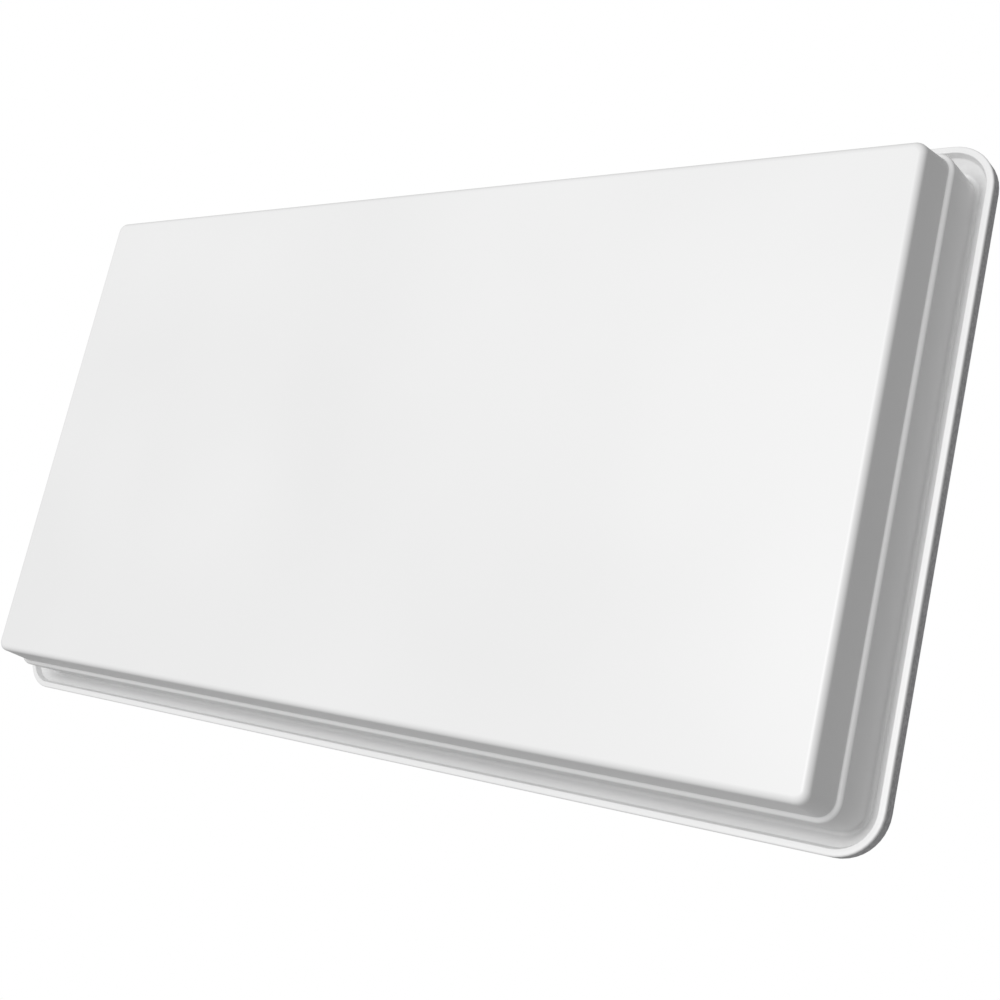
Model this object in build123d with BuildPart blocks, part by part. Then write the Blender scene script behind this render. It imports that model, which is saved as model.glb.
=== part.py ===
from build123d import *
import os
from math import cos, radians, sin

# Flat satellite antenna: a planar horn array behind a white plastic radome, closed by a grey rear
# cover, with the converter in a hump at the back and an aiming bracket that clamps on a mast.
#
# Frame, in millimetres: the origin is on the mast's axis at the height of the panel's centre.
# +X is to the right of someone who faces the antenna, +Z is up and -Y is where the panel looks.
# A station is a distance in front of the mast's axis. A depth is a distance behind the flat front.
# An "out" is a distance outside the flat front's own edge, the same all round the panel.

os.makedirs("parts", exist_ok=True)

# ---------------------------------------------------------------- driving dimensions
# Panel
rim_width = 520.0
rim_height = 280.0
rim_corner = 19.3
rim_out = 14.4
panel_depth = 58.0
radome_wall = 1.8
cover_wall = 2.5

# Radome section: each corner's out and depth
front_round = 3.0
ledge_in_out, ledge_in_depth, ledge_in_round = 2.3, 18.0, 0.5
ledge_out, ledge_depth, ledge_round = 4.35, 18.6, 1.5
valley_out, valley_depth, valley_round = 4.4, 42.1, 1.2
slope_out, slope_depth, slope_round = 10.6, 36.1, 1.2
lip_in_out, lip_in_depth, lip_in_round = 11.6, 32.9, 0.5
lip_depth, lip_round = 33.1, 0.7
lip_edge = 1.2
bead_depth = 39.5
bead_width = 2.15
bead_inset = 1.5

# Rear cover section
cover_rim_out = 14.3
cover_rim_back = 42.5
cover_rim_round = 3.9
cover_ring_back = 45.0
cover_ring_out = 8.5
cover_ring_in = 9.0
pocket_back = 38.0
pocket_draft = 4.0
gasket_width = 1.3
gasket_height = 1.2
gasket_land = 0.35

# Hump for the converter, at the back of the cover
hump_half_width = 80.0
hump_top = 72.0
hump_bottom = -70.0
hump_corner = 14.0
hump_draft = 4.0
hump_round = 4.0
rib_width = 2.0
rib_height = 2.5
rib_places = (112.0, 146.0, 180.0, 214.0)

# Array stack
foam_thickness = 5.2
horn_thickness = 17.0
horn_pitch = 29.5
horn_columns, horn_rows = 16, 8
horn_mouth, horn_throat = 27.5, 14.0
horn_mouth_depth = 11.0
horn_border = 3.0
feed_thickness = 4.0
feed_groove_width, feed_groove_depth = 8.0, 2.6
chassis_thickness = 2.0
stack_width, stack_height, stack_corner = 466.0, 226.0, 6.0
port_bore = 8.75
port_wall = 2.5

# Converter
converter_half_width = 31.0
converter_top = 32.0
converter_bottom = -62.0
converter_height = 18.5
converter_wall = 2.5
converter_corner = 5.0
lid_thickness = 1.6
lid_gasket_thickness = 0.6
board_thickness = 1.6
board_standoff = 3.0
lug_half_height, lug_reach, lug_thickness = 6.0, 9.0, 4.0
lug_heights = (-54.0, 0.0)
connector_spacing = 28.0
connector_depth = 46.5

# Coaxial connectors with a 3/8-32 thread
connector_radius = 4.7625
connector_bore = 3.3
connector_relief = 0.2
connector_thread = 12.0
connector_inside = 9.0
contact_radius = 0.6
contact_socket = 1.1

# Skew pivot and panel bolts
skew_radius = 57.0
skew_half_range = 30.0
pivot_boss_radius = 10.0
pivot_boss_height = 2.6
pillar_radius = 6.0
spigot_radius = 5.0
pillar_thread = 3.0

# Bracket
mast_radius = 25.0
sheet = 3.0
yoke_half_width = 65.0
yoke_half_height = 66.0
yoke_corner = 14.0
ear_radius = 37.0
pivot_station = 75.0
plate_station = 32.0
plate_half_height = 45.0
elevation_max = 60.0
lock_radius = 28.0
lock_angle = 30.0
pivot_bolt_radius = 4.0
lock_bolt_radius = 3.0
bracket_ear_radius = 18.0
tick_count = 7
tick_depth = 0.4
wall_hole_x, wall_hole_z, wall_hole_radius = 50.0, 33.0, 3.25

# Mast clamp
clamp_bolt_radius = 4.0
clamp_bolt_x = 40.0
jaw_half_width = 50.0
jaw_half_height = 20.0
jaw_mouth = 12.0
jaw_web = 5.0
jaw_slide = 15.0

# Clearances
running = 0.05
slip_gap = 0.2
bolt_gap = 0.3
hole_gap = 0.2
seat_gap = 0.05

# ---------------------------------------------------------------- values worked out from these
face_width = rim_width - 2 * rim_out
face_height = rim_height - 2 * rim_out
face_corner = rim_corner - rim_out
least_corner = 1.5
least_turn = 0.9

foam_front = radome_wall
horn_front = foam_front + foam_thickness
upper_front = horn_front + horn_thickness
lower_front = upper_front + feed_thickness
chassis_front = lower_front + feed_thickness
chassis_back = chassis_front + chassis_thickness

face_station = pivot_station + 41.0 + panel_depth
back_station = face_station - panel_depth
yoke_front_station = back_station - slip_gap
yoke_back_station = yoke_front_station - sheet


def at_depth(depth):
    """Plane across the panel at a depth behind its flat front, facing the front."""
    return Plane.XZ.offset(face_station - depth)


def outline(out):
    """The panel's outline, grown outwards from the flat front's edge."""
    corner = max(face_corner + out, least_corner)
    return RectangleRounded(face_width + 2 * out, face_height + 2 * out, corner)


def tapered(depth_a, out_a, depth_b, out_b, mode=Mode.ADD):
    """A slab of the panel whose outline changes from one depth to another."""
    with BuildSketch(at_depth(depth_a)) as near:
        outline(out_a)
    with BuildSketch(at_depth(depth_b)) as far:
        outline(out_b)
    loft([near.sketch, far.sketch], ruled=True, mode=mode)


def save(part, name):
    """Label a finished piece and write its file."""
    part.part.label = name
    export_step(part.part, f"parts/{name}.step")


def rim_path():
    """The flat front's outline as one closed line that starts halfway up the right side."""
    side, top, bend = face_width / 2, face_height / 2, face_corner
    with BuildLine(at_depth(0)) as path:
        Line((side, 0), (side, top - bend))
        JernArc(start=(side, top - bend), tangent=(0, 1), radius=bend, arc_size=90)
        Line((side - bend, top), (bend - side, top))
        JernArc(start=(bend - side, top), tangent=(-1, 0), radius=bend, arc_size=90)
        Line((-side, top - bend), (-side, bend - top))
        JernArc(start=(-side, bend - top), tangent=(0, -1), radius=bend, arc_size=90)
        Line((bend - side, -top), (side - bend, -top))
        JernArc(start=(side - bend, -top), tangent=(1, 0), radius=bend, arc_size=90)
        Line((side, bend - top), (side, 0))
    return path.wire()


# Rim sections are drawn where the path starts: out along X and depth along Y.
section_plane = Plane(origin=(face_width / 2, -face_station, 0))

# Screws that close the panel, one every hand's width round the rim
screw_out = -1.5
boss_radius = 4.5
boss_front = 25.0
screw_x = face_width / 2 + screw_out
screw_z = face_height / 2 + screw_out
screw_places = [(x, z) for x in (-200, -100, 0, 100, 200) for z in (-screw_z, screw_z)]
screw_places += [(x, z) for x in (-screw_x, screw_x) for z in (-60, 60)]
screw_radius = 1.5
screw_head_radius, screw_head_height = 2.8, 2.0
screw_length = 14.0
cross_length, cross_width = 3.2, 0.8

# ---------------------------------------------------------------- radome
# One moulding: the flat front, the stepped side wall, the gutter round it and the raised lip.
with BuildPart() as radome:
    with BuildSketch(section_plane):
        with BuildLine():
            skin = FilletPolyline(
                (least_turn - face_corner, 0),
                (0, 0),
                (ledge_in_out, ledge_in_depth),
                (ledge_out, ledge_depth),
                (valley_out, valley_depth),
                (slope_out, slope_depth),
                (lip_in_out, lip_in_depth),
                (rim_out - radome_wall, lip_depth - 0.1),
                radius=[front_round, ledge_in_round, ledge_round, valley_round, slope_round, lip_in_round],
            )
            offset(skin, amount=radome_wall, side=Side.LEFT)
        make_face()
        with BuildLine():
            Polyline(
                (lip_in_out + 0.5, lip_depth - 0.1),
                (rim_out, lip_depth),
                (rim_out, lip_depth + lip_edge),
                (rim_out - bead_inset, lip_depth + lip_edge),
                (rim_out - bead_inset, bead_depth),
                (rim_out - bead_inset - bead_width, bead_depth),
                (lip_in_out + 0.3, lip_depth + radome_wall),
                close=True,
            )
        bead = make_face()
        fillet(bead.vertices().sort_by_distance((rim_out, lip_depth)).first, lip_round)
    sweep(path=rim_path())
    with BuildSketch(at_depth(radome_wall)):
        outline(-front_round - 0.4)
    extrude(amount=radome_wall)
    with BuildSketch(at_depth(cover_ring_back - cover_wall)):
        with Locations(*screw_places):
            Circle(boss_radius)
    extrude(amount=cover_ring_back - cover_wall - boss_front)
    with BuildSketch(at_depth(cover_ring_back - cover_wall)):
        with Locations(*screw_places):
            Circle(screw_radius)
    extrude(amount=screw_length, mode=Mode.SUBTRACT)
save(radome, "radome")

# ---------------------------------------------------------------- rear cover
# One moulding: the rim that shows as a dark band, a ring for the screws, a sunk back and the hump.
pocket_out = -cover_ring_in - pocket_draft
pocket_floor = pocket_back - cover_wall
bead_out = rim_out - bead_inset + seat_gap
groove_out = bead_out - gasket_land - gasket_width / 2
hump_middle = (hump_top + hump_bottom) / 2
hump_height = hump_top - hump_bottom
rib_bottom, rib_top = -104.0, 104.0
vent_x, vent_z, vent_radius = -112.0 - 17.0, -84.0, 5.0
nut_flats, nut_thickness = 12.7, 2.4
seal_thickness = 1.4
seat_level = hump_bottom - hump_draft - 0.5
connector_places = [(side * connector_spacing / 2, connector_depth - face_station) for side in (-1, 1)]
pillar_angles = (45, 135, 225, 315)
pillar_places = [
    (skew_radius * cos(radians(angle)), skew_radius * sin(radians(angle))) for angle in pillar_angles
]


def hump(depth_a, depth_b, inset, mode=Mode.ADD):
    """The drafted hump, or the hollow inside it, between two depths."""
    sections = []
    for depth in (depth_a, depth_b):
        spread = hump_draft * (panel_depth - depth) / (panel_depth - pocket_back) - inset
        with BuildSketch(at_depth(depth)) as section:
            with Locations((0, hump_middle)):
                RectangleRounded(
                    2 * (hump_half_width + spread), hump_height + 2 * spread, hump_corner + spread
                )
        sections.append(section.sketch)
    loft(sections, ruled=True, mode=mode)


with BuildPart() as rear_cover:
    with BuildSketch(at_depth(cover_rim_back)):
        outline(cover_rim_out)
    extrude(amount=cover_rim_back - lip_depth - lip_edge)
    rim_back_edges = rear_cover.faces().sort_by(Axis.Y).last.edges()
    fillet(rim_back_edges, cover_rim_round)
    tapered(cover_rim_back - 1, cover_ring_out + 3.5, cover_ring_back, cover_ring_out)
    # The hollow: a rebate for the radome's bead, a land for the gasket, and the space behind them
    with BuildSketch(at_depth(bead_depth)):
        outline(bead_out)
    extrude(amount=bead_depth - lip_depth, mode=Mode.SUBTRACT)
    with BuildSketch(at_depth(cover_rim_back - cover_wall)):
        outline(groove_out - gasket_width / 2 - 0.6)
    extrude(amount=cover_rim_back - lip_depth, mode=Mode.SUBTRACT)
    tapered(
        cover_rim_back - cover_wall,
        cover_ring_out + 1.4,
        cover_ring_back - cover_wall,
        cover_ring_out - 1.1,
        mode=Mode.SUBTRACT,
    )
    with BuildSketch(at_depth(bead_depth + gasket_height)):
        outline(groove_out + gasket_width / 2)
        with BuildSketch(at_depth(bead_depth + gasket_height), mode=Mode.SUBTRACT):
            outline(groove_out - gasket_width / 2)
    extrude(amount=gasket_height, mode=Mode.SUBTRACT)
    # The sunk back and its sloping sides
    tapered(pocket_floor, pocket_out + 1.2, cover_ring_back, -cover_ring_in + cover_wall)
    tapered(pocket_back, pocket_out, cover_ring_back, -cover_ring_in, mode=Mode.SUBTRACT)
    # The hump
    hump(pocket_floor, panel_depth, 0)
    hump_edges = rear_cover.faces().sort_by(Axis.Y).last.outer_wire().edges()
    fillet(hump_edges, hump_round)
    hump(pocket_floor - 1, panel_depth - cover_wall, cover_wall, mode=Mode.SUBTRACT)
    # Stiffening ribs on the sunk back
    with BuildSketch(at_depth(pocket_back)):
        for x in rib_places:
            with Locations((x, 0), (-x, 0)):
                SlotOverall(rib_top - rib_bottom, rib_width, rotation=90)
    extrude(amount=-rib_height)
    # The pivot on which the panel turns for skew
    with BuildSketch(at_depth(panel_depth)):
        Circle(pivot_boss_radius)
        Circle(pivot_boss_radius - cover_wall, mode=Mode.SUBTRACT)
    extrude(amount=-pivot_boss_height)
    # Holes: pillars, closing screws, connectors and vent
    with BuildSketch(at_depth(panel_depth)):
        with Locations(*pillar_places):
            Circle(spigot_radius + hole_gap)
    extrude(amount=2 * cover_wall, mode=Mode.SUBTRACT)
    with BuildSketch(at_depth(cover_ring_back)):
        with Locations(*screw_places):
            Circle(screw_radius + hole_gap)
    extrude(amount=2 * cover_wall, mode=Mode.SUBTRACT)
    with BuildSketch(Plane.XY.offset(seat_level)):
        with Locations(*connector_places):
            Circle(nut_flats / 2 + 1.5)
    extrude(amount=hump_bottom - seat_level + cover_wall / 2)
    with BuildSketch(Plane.XY.offset(seat_level)):
        with Locations(*connector_places):
            Circle(connector_radius + hole_gap)
    extrude(amount=hump_draft + 2 * cover_wall + 1, mode=Mode.SUBTRACT)
    with BuildSketch(at_depth(pocket_back)):
        with Locations((vent_x, vent_z)):
            Circle(vent_radius)
    extrude(amount=2 * cover_wall, mode=Mode.SUBTRACT)
save(rear_cover, "rear_cover")

# Rubber cord in the cover's land, squeezed by the radome's bead
with BuildPart() as rim_gasket:
    with BuildSketch(at_depth(bead_depth + gasket_height)):
        outline(groove_out + gasket_width / 2)
        with BuildSketch(at_depth(bead_depth + gasket_height), mode=Mode.SUBTRACT):
            outline(groove_out - gasket_width / 2)
    extrude(amount=gasket_height)
save(rim_gasket, "rim_gasket")

# Pan-head screws through the cover's ring into the radome's posts
with BuildPart() as cover_screws:
    with BuildSketch(at_depth(cover_ring_back)):
        with Locations(*screw_places):
            Circle(screw_radius)
    extrude(amount=screw_length)
    with BuildSketch(at_depth(cover_ring_back)):
        with Locations(*screw_places):
            Circle(screw_head_radius)
    extrude(amount=-screw_head_height)
    fillet(cover_screws.faces().group_by(Axis.Y)[-1].edges(), screw_head_height / 2)
    with BuildSketch(at_depth(cover_ring_back + screw_head_height)):
        for place in screw_places:
            with Locations(place):
                Rectangle(cross_length, cross_width)
                Rectangle(cross_width, cross_length)
    extrude(amount=screw_head_height / 2, mode=Mode.SUBTRACT)
save(cover_screws, "cover_screws")

# Breathing plug: a cap on a barbed stem, over a disc of vapour-tight film
vent_cap_radius, vent_cap_height, vent_cap_round = 8.0, 4.0, 1.2
vent_barb, vent_barb_out, vent_tube_wall = 1.2, 0.6, 2.0
vent_film_thickness = 0.4
vent_slot_length, vent_slot_width, vent_slots = 4.0, 2.0, 6
with BuildPart() as vent_plug:
    with BuildSketch(at_depth(pocket_back - cover_wall - vent_barb)):
        with Locations((vent_x, vent_z)):
            Circle(vent_radius + vent_barb_out)
            Circle(vent_radius - vent_tube_wall, mode=Mode.SUBTRACT)
    extrude(amount=-vent_barb)
    with BuildSketch(at_depth(pocket_back - cover_wall)):
        with Locations((vent_x, vent_z)):
            Circle(vent_radius)
            Circle(vent_radius - vent_tube_wall, mode=Mode.SUBTRACT)
    extrude(amount=-cover_wall)
    with BuildSketch(at_depth(pocket_back)):
        with Locations((vent_x, vent_z)):
            Circle(vent_cap_radius)
    extrude(amount=-vent_cap_height)
    fillet(vent_plug.faces().sort_by(Axis.Y).last.edges(), vent_cap_round)
    with BuildSketch(at_depth(pocket_back)):
        with Locations((vent_x, vent_z)):
            Circle(vent_radius - vent_tube_wall)
            with PolarLocations(vent_cap_radius, vent_slots):
                Rectangle(vent_slot_length, vent_slot_width)
    extrude(amount=-vent_cap_height / 2, mode=Mode.SUBTRACT)
save(vent_plug, "vent_plug")

with BuildPart() as vent_film:
    with BuildSketch(at_depth(pocket_back + vent_cap_height / 2)):
        with Locations((vent_x, vent_z)):
            Circle(vent_radius - vent_tube_wall)
    extrude(amount=vent_film_thickness)
save(vent_film, "vent_film")

# ---------------------------------------------------------------- array stack
horn_width = horn_columns * horn_pitch + 2 * horn_border
horn_height = horn_rows * horn_pitch + 2 * horn_border

# Foam sheet that keeps the radome's front flat
with BuildPart() as foam_sheet:
    with BuildSketch(at_depth(foam_front + foam_thickness)):
        RectangleRounded(horn_width, horn_height, stack_corner)
    extrude(amount=foam_thickness)
save(foam_sheet, "foam_sheet")

# Metal-plated plate of square horns, each stepping down to its throat
with BuildPart() as horn_plate:
    with BuildSketch(at_depth(horn_front + horn_thickness)):
        RectangleRounded(horn_width, horn_height, stack_corner)
    extrude(amount=horn_thickness)
    with BuildSketch(at_depth(horn_front)):
        with GridLocations(horn_pitch, horn_pitch, horn_columns, horn_rows):
            Rectangle(horn_mouth, horn_mouth)
    extrude(amount=-horn_mouth_depth, mode=Mode.SUBTRACT)
    with BuildSketch(at_depth(horn_front + horn_mouth_depth)):
        with GridLocations(horn_pitch, horn_pitch, horn_columns, horn_rows):
            Rectangle(horn_throat, horn_throat)
    extrude(amount=horn_mouth_depth - horn_thickness, mode=Mode.SUBTRACT)
save(horn_plate, "horn_plate")

# Screws of the stack stand between the rows of horns
array_screw_places = [(x, z) for x in (-206.5, -88.5, 88.5, 206.5) for z in (-88.5, 0, 88.5)]
array_screw_radius, array_screw_head = 1.5, 2.8
array_screw_head_height = 1.2


def feed_plate(front, grooves_forward, name):
    """A plated plate with the waveguide grooves of the feed tree in one face."""
    rows = [horn_pitch * (row - horn_rows / 2 + 0.5) for row in range(1, horn_rows, 2)]
    run = horn_pitch * (horn_columns - 2)
    with BuildPart() as plate:
        with BuildSketch(at_depth(front + feed_thickness)):
            RectangleRounded(stack_width, stack_height, stack_corner)
            with Locations(*array_screw_places):
                Circle(array_screw_radius + hole_gap, mode=Mode.SUBTRACT)
            Circle(port_bore, mode=Mode.SUBTRACT)
        extrude(amount=feed_thickness)
        face_depth = front if grooves_forward else front + feed_thickness
        cut = -feed_groove_depth if grooves_forward else feed_groove_depth
        with BuildSketch(at_depth(face_depth)):
            for z in rows:
                with Locations((0, z - horn_pitch / 2)):
                    SlotOverall(run, feed_groove_width)
            with Locations((0, 0)):
                SlotOverall(rows[-1] - rows[0] + horn_pitch, feed_groove_width, rotation=90)
        extrude(amount=cut, mode=Mode.SUBTRACT)
    save(plate, name)


feed_plate(upper_front, False, "upper_feed_plate")
feed_plate(lower_front, True, "lower_feed_plate")

# Aluminium plate that carries the stack, the converter and the four pillars
pillar_screw_radius, pillar_screw_head, pillar_screw_cone = 2.0, 3.6, 1.6
lug_x = converter_half_width + lug_reach / 2
lug_places = [(side * lug_x, z) for side in (-1, 1) for z in lug_heights]
with BuildPart() as chassis_plate:
    with BuildSketch(at_depth(chassis_back)):
        RectangleRounded(stack_width, stack_height, stack_corner)
        with Locations(*array_screw_places):
            Circle(array_screw_radius + hole_gap, mode=Mode.SUBTRACT)
        with Locations(*pillar_places):
            Circle(pillar_screw_radius + hole_gap, mode=Mode.SUBTRACT)
        with Locations(*lug_places):
            Circle(screw_radius, mode=Mode.SUBTRACT)
        Circle(port_bore + port_wall, mode=Mode.SUBTRACT)
    extrude(amount=chassis_thickness)
    with Locations(*[at_depth(chassis_front).location * Pos(x, z) for x, z in pillar_places]):
        Cone(
            pillar_screw_radius + hole_gap,
            pillar_screw_head + hole_gap,
            pillar_screw_cone,
            align=(Align.CENTER, Align.CENTER, Align.MAX),
            mode=Mode.SUBTRACT,
        )
save(chassis_plate, "chassis_plate")

# Screws from the back of the chassis plate into the horn plate
with BuildPart() as array_screws:
    with BuildSketch(at_depth(chassis_back)):
        with Locations(*array_screw_places):
            Circle(array_screw_radius)
    extrude(amount=chassis_back - upper_front)
    with BuildSketch(at_depth(chassis_back)):
        with Locations(*array_screw_places):
            Circle(array_screw_head)
    extrude(amount=-array_screw_head_height)
save(array_screws, "array_screws")

# Short tube that carries the waves through the chassis plate
with BuildPart() as waveguide_port:
    with BuildSketch(at_depth(chassis_back)):
        Circle(port_bore + port_wall)
        Circle(port_bore, mode=Mode.SUBTRACT)
    extrude(amount=chassis_thickness)
save(waveguide_port, "waveguide_port")

# Aluminium pillars between the chassis plate and the bracket, with a spigot through the cover
pillar_bore_depth = 14.0
pillar_tapped, pillar_screw_bite = 6.0, 5.0
with BuildPart() as mount_pillars:
    with BuildSketch(at_depth(panel_depth - cover_wall)):
        with Locations(*pillar_places):
            Circle(pillar_radius)
    extrude(amount=panel_depth - cover_wall - chassis_back)
    with BuildSketch(at_depth(panel_depth)):
        with Locations(*pillar_places):
            Circle(spigot_radius)
    extrude(amount=cover_wall)
    with BuildSketch(at_depth(panel_depth)):
        with Locations(*pillar_places):
            Circle(pillar_thread)
    extrude(amount=pillar_bore_depth, mode=Mode.SUBTRACT)
    with BuildSketch(at_depth(chassis_back)):
        with Locations(*pillar_places):
            Circle(pillar_screw_radius)
    extrude(amount=-pillar_tapped, mode=Mode.SUBTRACT)
save(mount_pillars, "mount_pillars")

with BuildPart() as pillar_screws:
    with BuildSketch(at_depth(chassis_back + pillar_screw_bite)):
        with Locations(*pillar_places):
            Circle(pillar_screw_radius)
    extrude(amount=pillar_screw_bite + chassis_thickness)
    with Locations(*[at_depth(chassis_front).location * Pos(x, z) for x, z in pillar_places]):
        Cone(
            pillar_screw_radius,
            pillar_screw_head,
            pillar_screw_cone,
            align=(Align.CENTER, Align.CENTER, Align.MAX),
        )
save(pillar_screws, "pillar_screws")

# ---------------------------------------------------------------- converter
converter_front = chassis_back
converter_back = converter_front + converter_height
converter_middle = (converter_top + converter_bottom) / 2
converter_span = converter_top - converter_bottom
lid_screw_inset = 4.5
lid_screw_places = [
    (side * (converter_half_width - lid_screw_inset), z)
    for side in (-1, 1)
    for z in (converter_bottom + lid_screw_inset, converter_middle, converter_top - lid_screw_inset)
]
lid_screw_radius, lid_screw_head, lid_screw_cone = 1.25, 2.2, 1.2
lid_screw_length, lid_column_radius = 8.0, 3.2


def converter_slab(back, thickness, inset, mode=Mode.ADD):
    """A slab with the converter's outline, ending at a depth."""
    with BuildSketch(at_depth(back)) as slab:
        with Locations((0, converter_middle)):
            RectangleRounded(
                2 * (converter_half_width - inset),
                converter_span - 2 * inset,
                max(converter_corner - inset, least_corner),
            )
    extrude(slab.sketch, amount=thickness, mode=mode)


with BuildPart() as converter_housing:
    converter_slab(converter_back, converter_height, 0)
    converter_slab(converter_back, converter_height - converter_wall, converter_wall, mode=Mode.SUBTRACT)
    # Screw columns in the corners and halfway, lugs outside, and a thick floor for the connectors
    with BuildSketch(at_depth(converter_back)):
        with Locations(*lid_screw_places):
            Circle(lid_column_radius)
    extrude(amount=converter_height - converter_wall)
    with BuildSketch(at_depth(converter_front + lug_thickness)):
        with Locations(*lug_places):
            Rectangle(lug_reach + 2, 2 * lug_half_height)
    extrude(amount=lug_thickness)
    with BuildSketch(at_depth(converter_back)):
        with Locations(*lid_screw_places):
            Circle(lid_screw_radius)
    extrude(amount=lid_screw_length, mode=Mode.SUBTRACT)
    with BuildSketch(at_depth(converter_front)):
        with Locations(*lug_places):
            Circle(screw_radius + hole_gap)
    extrude(amount=-lug_thickness, mode=Mode.SUBTRACT)
    with BuildSketch(at_depth(converter_front)):
        Circle(port_bore)
    extrude(amount=-converter_wall, mode=Mode.SUBTRACT)
    with BuildSketch(Plane.XY.offset(converter_bottom)):
        with Locations(*connector_places):
            Circle(connector_radius - connector_relief)
    extrude(amount=converter_wall, mode=Mode.SUBTRACT)
save(converter_housing, "converter_housing")

with BuildPart() as converter_gasket:
    converter_slab(converter_back + lid_gasket_thickness, lid_gasket_thickness, 0)
    converter_slab(
        converter_back + lid_gasket_thickness, lid_gasket_thickness, converter_wall, mode=Mode.SUBTRACT
    )
    with BuildSketch(at_depth(converter_back + lid_gasket_thickness)):
        with Locations(*lid_screw_places):
            Circle(lid_column_radius)
    extrude(amount=lid_gasket_thickness)
    with BuildSketch(at_depth(converter_back + lid_gasket_thickness)):
        with Locations(*lid_screw_places):
            Circle(lid_screw_radius + hole_gap)
    extrude(amount=lid_gasket_thickness, mode=Mode.SUBTRACT)
save(converter_gasket, "converter_gasket")

lid_back = converter_back + lid_gasket_thickness + lid_thickness
with BuildPart() as converter_lid:
    converter_slab(lid_back, lid_thickness, 0)
    with BuildSketch(at_depth(lid_back)):
        with Locations(*lid_screw_places):
            Circle(lid_screw_radius + hole_gap)
    extrude(amount=lid_thickness, mode=Mode.SUBTRACT)
    with Locations(*[at_depth(lid_back).location * Pos(x, z) for x, z in lid_screw_places]):
        Cone(
            lid_screw_head + hole_gap,
            lid_screw_radius + hole_gap,
            lid_screw_cone,
            align=(Align.CENTER, Align.CENTER, Align.MIN),
            mode=Mode.SUBTRACT,
        )
save(converter_lid, "converter_lid")

with BuildPart() as lid_screws:
    with BuildSketch(at_depth(lid_back)):
        with Locations(*lid_screw_places):
            Circle(lid_screw_radius)
    extrude(amount=lid_screw_length)
    with Locations(*[at_depth(lid_back).location * Pos(x, z) for x, z in lid_screw_places]):
        Cone(
            lid_screw_head,
            lid_screw_radius,
            lid_screw_cone,
            align=(Align.CENTER, Align.CENTER, Align.MIN),
        )
save(lid_screws, "lid_screws")

# Circuit board on the floor's step, with its shielded filters and amplifiers
board_inset = converter_wall + 5.5
component_height = 1.4
board_front = converter_front + converter_wall + board_standoff
with BuildPart() as circuit_board:
    converter_slab(board_front + board_thickness, board_thickness, board_inset)
    with BuildSketch(at_depth(board_front + board_thickness)):
        for x in (-12, 0, 12):
            with Locations((x, -20)):
                Rectangle(7, 12)
        with Locations((-12, 4), (12, 4)):
            Rectangle(9, 9)
        with Locations((0, -42)):
            Rectangle(18, 6)
    extrude(amount=-component_height)
save(circuit_board, "circuit_board")

# Posts that hold the board off the housing's floor
board_post_places = [(side * 20.0, z) for side in (-1, 1) for z in (-44.0, 14.0)]
board_post_radius = 2.0
with BuildPart() as board_posts:
    with BuildSketch(at_depth(board_front)):
        with Locations(*board_post_places):
            Circle(board_post_radius)
    extrude(amount=board_standoff)
save(board_posts, "board_posts")

# The two probes that pick up the two polarisations in the round port
probe_radius, probe_place, probe_reach = 0.7, 5.5, 1.5
with BuildPart() as waveguide_probes:
    with BuildSketch(at_depth(board_front)):
        with Locations((probe_place, 0), (0, probe_place)):
            Circle(probe_radius)
    extrude(amount=board_standoff + converter_wall + probe_reach)
save(waveguide_probes, "waveguide_probes")

with BuildPart() as lug_screws:
    with BuildSketch(at_depth(converter_front + lug_thickness)):
        with Locations(*lug_places):
            Circle(screw_radius)
    extrude(amount=lug_thickness + chassis_thickness)
    with BuildSketch(at_depth(converter_front + lug_thickness)):
        with Locations(*lug_places):
            Circle(screw_head_radius)
    extrude(amount=-screw_head_height)
save(lug_screws, "lug_screws")

# ---------------------------------------------------------------- connectors
# Each connector screws into the converter's floor and leaves through the hump's lower side.
shell_top = converter_bottom + converter_wall + connector_inside
shell_bottom = seat_level - connector_thread
nut_bottom = seat_level - seal_thickness - nut_thickness
mouth_chamfer, insulator_recess, contact_recess, contact_tail = 0.4, 1.2, 2.5, 2.0


def upright_ring(place, low, high, outer, inner):
    """A ring between two heights, about an upright axis."""
    with BuildSketch(Plane.XY.offset(low)) as section:
        with Locations(place):
            Circle(outer)
            Circle(inner, mode=Mode.SUBTRACT)
    extrude(section.sketch, amount=high - low)


floor_top = converter_bottom + converter_wall
for index, place in enumerate(connector_places, start=1):
    with BuildPart() as connector_shell:
        upright_ring(place, shell_bottom, nut_bottom, connector_radius, connector_bore)
        upright_ring(place, nut_bottom, floor_top, connector_radius - connector_relief, connector_bore)
        upright_ring(place, floor_top, shell_top, connector_radius - 4 * connector_relief, connector_bore)
        mouth_edges = connector_shell.faces().sort_by(Axis.Z).first.edges().sort_by(SortBy.RADIUS)
        chamfer(mouth_edges.last, mouth_chamfer)
    save(connector_shell, f"connector_shell_{index}")

    with BuildPart() as connector_insulator:
        upright_ring(place, shell_bottom + insulator_recess, shell_top, connector_bore, contact_socket)
    save(connector_insulator, f"connector_insulator_{index}")

    with BuildPart() as connector_contact:
        upright_ring(
            place, shell_bottom + contact_recess, shell_top + contact_tail, contact_socket, contact_radius
        )
    save(connector_contact, f"connector_contact_{index}")

    with BuildPart() as connector_nut:
        with BuildSketch(Plane.XY.offset(nut_bottom)):
            with Locations(place):
                RegularPolygon(nut_flats / 2, 6, major_radius=False)
                Circle(connector_radius - connector_relief, mode=Mode.SUBTRACT)
        extrude(amount=nut_thickness)
    save(connector_nut, f"connector_nut_{index}")

    with BuildPart() as connector_seal:
        upright_ring(
            place,
            seat_level - seal_thickness,
            seat_level,
            nut_flats / 2 - slip_gap,
            connector_radius - connector_relief,
        )
    save(connector_seal, f"connector_seal_{index}")

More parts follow.
